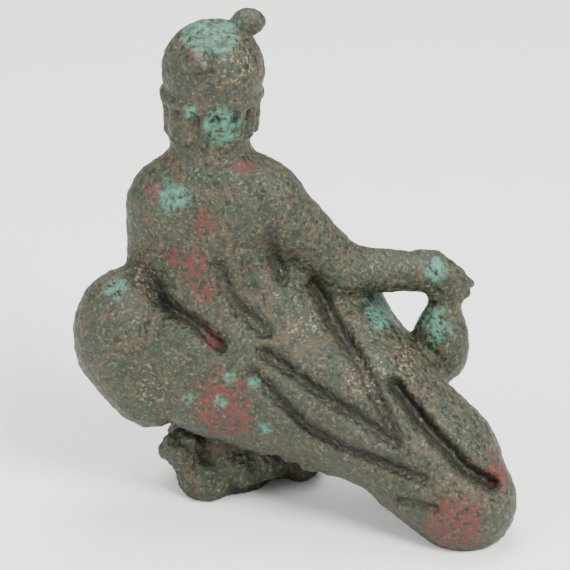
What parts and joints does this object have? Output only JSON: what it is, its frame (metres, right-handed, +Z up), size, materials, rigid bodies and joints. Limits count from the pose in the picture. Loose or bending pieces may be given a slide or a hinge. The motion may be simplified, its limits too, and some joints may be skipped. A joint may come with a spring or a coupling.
{
  "type": "bronze mercury figurine",
  "caption": "Small cast bronze figurine of Mercury half reclining on a rock in cloak and winged cap, holding a purse.",
  "frame": {"origin": "under the middle of the figurine's box, on the surface that it stands on", "axes": "+Z up, +Y the way the figure looks, +X towards the hand that holds the purse"},
  "size_m": [0.0532, 0.0288, 0.0613],
  "materials": {
    "patinated_bronze": "excavated bronze with dark olive and brown patina, red, green and sandy spots"
  },
  "bodies": {
    "root": {"mercury_figurine": "patinated_bronze"}
  },
  "joints": []
}
